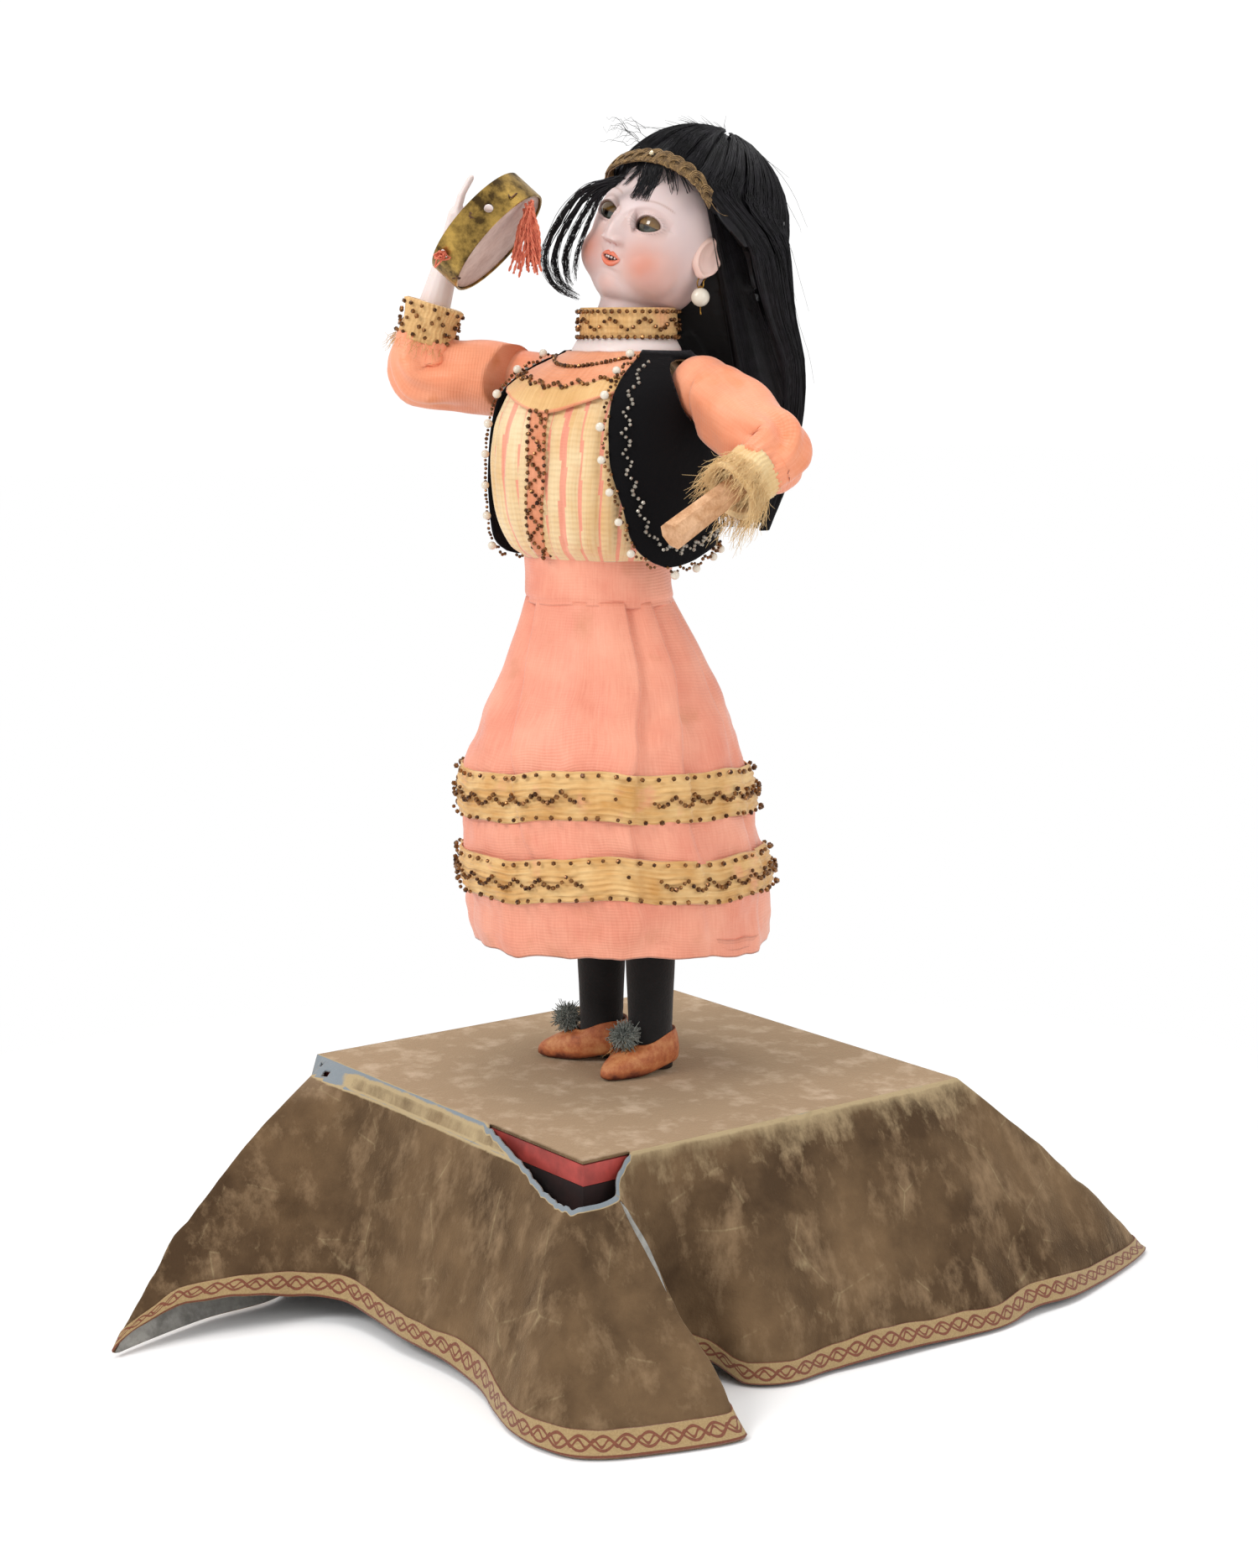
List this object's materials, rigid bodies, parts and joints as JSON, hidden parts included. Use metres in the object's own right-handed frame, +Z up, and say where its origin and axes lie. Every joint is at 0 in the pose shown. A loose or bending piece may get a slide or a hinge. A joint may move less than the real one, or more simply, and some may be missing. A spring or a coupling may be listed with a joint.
{
  "type": "automaton doll",
  "caption": "Clockwork doll in silk and velvet that raises a tambourine, standing on a square musical base under a worn velvet cover.",
  "frame": {"origin": "centre of the underside of the wooden base", "axes": "+Z up, +X towards the side the doll's left hand is nearer, -Y the side the doll faces"},
  "size_m": [0.354, 0.4579, 0.5257],
  "materials": {
    "pine": "planed pine",
    "red_paint": "worn red oil paint on wood",
    "velvet": "worn olive-brown velvet on grey cotton",
    "braid": "woven braid",
    "brass": "tarnished",
    "steel": "oiled steel",
    "stocking": "black knit",
    "shoe_leather": "worn tan leather",
    "wool": "fluffy wool",
    "paper_shell": "moulded paper",
    "peach_silk": "faded silk",
    "straw_ribbon": "silk ribbon",
    "black_velvet": "black velvet",
    "beech": "turned beech",
    "bisque": "matt tinted bisque",
    "vellum": "stretched vellum",
    "coral_cord": "twisted silk cord",
    "eye_glass": "dark glossy glass",
    "pearl": "lustre bead on gilt wire",
    "mohair": "black mohair",
    "gimp": "tarnished metal-thread gimp"
  },
  "bodies": {
    "base": {"base_bottom": "pine", "base_case": "red_paint", "base_top": "red_paint", "velvet_cover": "velvet", "hem_braid": "braid", "left_plate": "brass", "right_plate": "brass", "lever_pivot_rod": "steel", "music_comb": "steel", "music_bedplate": "brass", "left_leg": "stocking", "right_leg": "stocking", "left_shoe": "shoe_leather", "right_shoe": "shoe_leather", "left_pompom": "wool", "right_pompom": "wool", "torso": "paper_shell", "skirt": "peach_silk", "waistband": "peach_silk", "blouse": "straw_ribbon", "vest": "black_velvet", "collar": "straw_ribbon"},
    "winding": {"winding_arbor": "steel", "winding_key": "steel"},
    "click": {"ratchet_click": "steel"},
    "barrel": {"spring_barrel": "brass"},
    "second": {"second_wheel": "brass"},
    "fly": {"air_brake": "brass"},
    "stop": {"stop_wire": "brass"},
    "camshaft": {"cam_shaft": "steel", "right_arm_cam": "brass", "head_turn_cam": "brass", "head_nod_cam": "brass", "left_arm_cam": "brass", "music_cylinder": "brass"},
    "right_arm_follower": {"right_arm_lever": "brass"},
    "head_turn_follower": {"head_turn_lever": "brass"},
    "head_nod_follower": {"head_nod_lever": "brass"},
    "left_arm_follower": {"left_arm_lever": "brass"},
    "right_arm_push": {"right_arm_rod": "steel"},
    "head_turn_push": {"head_turn_rod": "steel"},
    "head_nod_push": {"head_nod_rod": "steel"},
    "left_arm_push": {"left_arm_rod": "steel"},
    "neck": {"neck_yoke": "brass"},
    "head_body": {"head": "bisque", "wig": "mohair", "headband": "gimp"},
    "eyes": {"sleep_eyes": "eye_glass"},
    "right_pearl": {"right_earring": "pearl"},
    "left_pearl": {"left_earring": "pearl"},
    "right_arm_body": {"right_arm_core": "beech", "right_sleeve": "peach_silk", "right_cuff": "straw_ribbon", "right_hand": "bisque", "tambourine_hoop": "brass", "tambourine_skin": "vellum", "tambourine_tassel": "coral_cord"},
    "left_arm_body": {"left_arm_core": "beech", "left_sleeve": "peach_silk", "left_cuff": "straw_ribbon"}
  },
  "joints": [
    {"name": "key_wind", "type": "hinge", "parent": "base", "child": "winding", "pos_m": [-0.1, -0.049, 0.043], "axis": [1, 0, 0], "continuous": true},
    {"name": "click_lift", "type": "hinge", "parent": "base", "child": "click", "pos_m": [-0.0375, -0.0623, 0.028], "axis": [1, 0, 0], "range_deg": [0, 12]},
    {"name": "barrel_turn", "type": "hinge", "parent": "base", "child": "barrel", "pos_m": [-0.01, -0.049, 0.043], "axis": [1, 0, 0], "continuous": true},
    {"name": "second_turn", "type": "hinge", "parent": "base", "child": "second", "pos_m": [-0.01, 0.008, 0.043], "axis": [1, 0, 0], "continuous": true},
    {"name": "camshaft_turn", "type": "hinge", "parent": "base", "child": "camshaft", "pos_m": [-0.01, 0.044, 0.043], "axis": [1, 0, 0], "continuous": true},
    {"name": "fly_turn", "type": "hinge", "parent": "base", "child": "fly", "pos_m": [-0.01, -0.01007, 0.0172], "axis": [1, 0, 0], "continuous": true},
    {"name": "stop_slide", "type": "slide", "parent": "base", "child": "stop", "axis": [1, 0, 0], "range_m": [0, 0.004]},
    {"name": "right_arm_raise", "type": "hinge", "parent": "base", "child": "right_arm_body", "pos_m": [-0.05016, -0.01098, 0.412], "axis": [0.2079, -0.9781, 0], "range_deg": [0, 20]},
    {"name": "left_arm_raise", "type": "hinge", "parent": "base", "child": "left_arm_body", "pos_m": [0.03983, 0.00815, 0.412], "axis": [-0.2079, 0.9781, 0], "range_deg": [0, 15]},
    {"name": "head_turn", "type": "hinge", "parent": "base", "child": "neck", "pos_m": [-0.006, 0.0025, 0.43], "axis": [0, 0, 1], "range_deg": [0, 20]},
    {"name": "head_nod", "type": "hinge", "parent": "neck", "child": "head_body", "pos_m": [-0.006, 0.0025, 0.443], "axis": [0.9727, 0.1541, -0.1736], "range_deg": [0, 10]},
    {"name": "eye_roll", "type": "hinge", "parent": "head_body", "child": "eyes", "pos_m": [0.0023, -0.00079, 0.48655], "axis": [0.9727, 0.1541, -0.1736], "range_deg": [-20, 20]},
    {"name": "right_pearl_swing", "type": "hinge", "parent": "head_body", "child": "right_pearl", "pos_m": [-0.03313, 0.00941, 0.46711], "axis": [0.9877, 0.1564, 0], "range_deg": [-20, 20]},
    {"name": "left_pearl_swing", "type": "hinge", "parent": "head_body", "child": "left_pearl", "pos_m": [0.02509, 0.01863, 0.45671], "axis": [0.9877, 0.1564, 0], "range_deg": [-20, 20]},
    {"name": "right_arm_lever_tilt", "type": "hinge", "parent": "base", "child": "right_arm_follower", "pos_m": [-0.0212, 0.022, 0.0693], "axis": [-1, 0, 0], "range_deg": [0, 22.5]},
    {"name": "head_turn_lever_tilt", "type": "hinge", "parent": "base", "child": "head_turn_follower", "pos_m": [-0.0164, 0.022, 0.0693], "axis": [-1, 0, 0], "range_deg": [0, 12.5]},
    {"name": "head_nod_lever_tilt", "type": "hinge", "parent": "base", "child": "head_nod_follower", "pos_m": [0.0098, 0.022, 0.0693], "axis": [-1, 0, 0], "range_deg": [0, 8.5]},
    {"name": "left_arm_lever_tilt", "type": "hinge", "parent": "base", "child": "left_arm_follower", "pos_m": [0.0146, 0.022, 0.0693], "axis": [-1, 0, 0], "range_deg": [0, 21.5]},
    {"name": "right_arm_rod_lift", "type": "slide", "parent": "base", "child": "right_arm_push", "axis": [0, 0, 1], "range_m": [0, 0.0093]},
    {"name": "head_turn_rod_lift", "type": "slide", "parent": "base", "child": "head_turn_push", "axis": [0, 0, 1], "range_m": [0, 0.0052]},
    {"name": "head_nod_rod_lift", "type": "slide", "parent": "base", "child": "head_nod_push", "axis": [0, 0, 1], "range_m": [0, 0.0029]},
    {"name": "left_arm_rod_lift", "type": "slide", "parent": "base", "child": "left_arm_push", "axis": [0, 0, 1], "range_m": [0, 0.007]}
  ],
  "couplings": [
    {"joint": "second_turn", "follows": "barrel_turn", "ratio": -1.375},
    {"joint": "camshaft_turn", "follows": "barrel_turn", "ratio": 2.75},
    {"joint": "fly_turn", "follows": "barrel_turn", "ratio": 4.4},
    {"joint": "right_arm_lever_tilt", "follows": "right_arm_raise", "ratio": 1.09},
    {"joint": "right_arm_rod_lift", "follows": "right_arm_raise", "m_per_rad": 0.0262},
    {"joint": "left_arm_lever_tilt", "follows": "left_arm_raise", "ratio": 1.379},
    {"joint": "left_arm_rod_lift", "follows": "left_arm_raise", "m_per_rad": 0.0262},
    {"joint": "head_turn_lever_tilt", "follows": "head_turn", "ratio": 0.597},
    {"joint": "head_turn_rod_lift", "follows": "head_turn", "m_per_rad": 0.0143},
    {"joint": "head_nod_lever_tilt", "follows": "head_nod", "ratio": 0.804},
    {"joint": "head_nod_rod_lift", "follows": "head_nod", "m_per_rad": 0.0153}
  ]
}
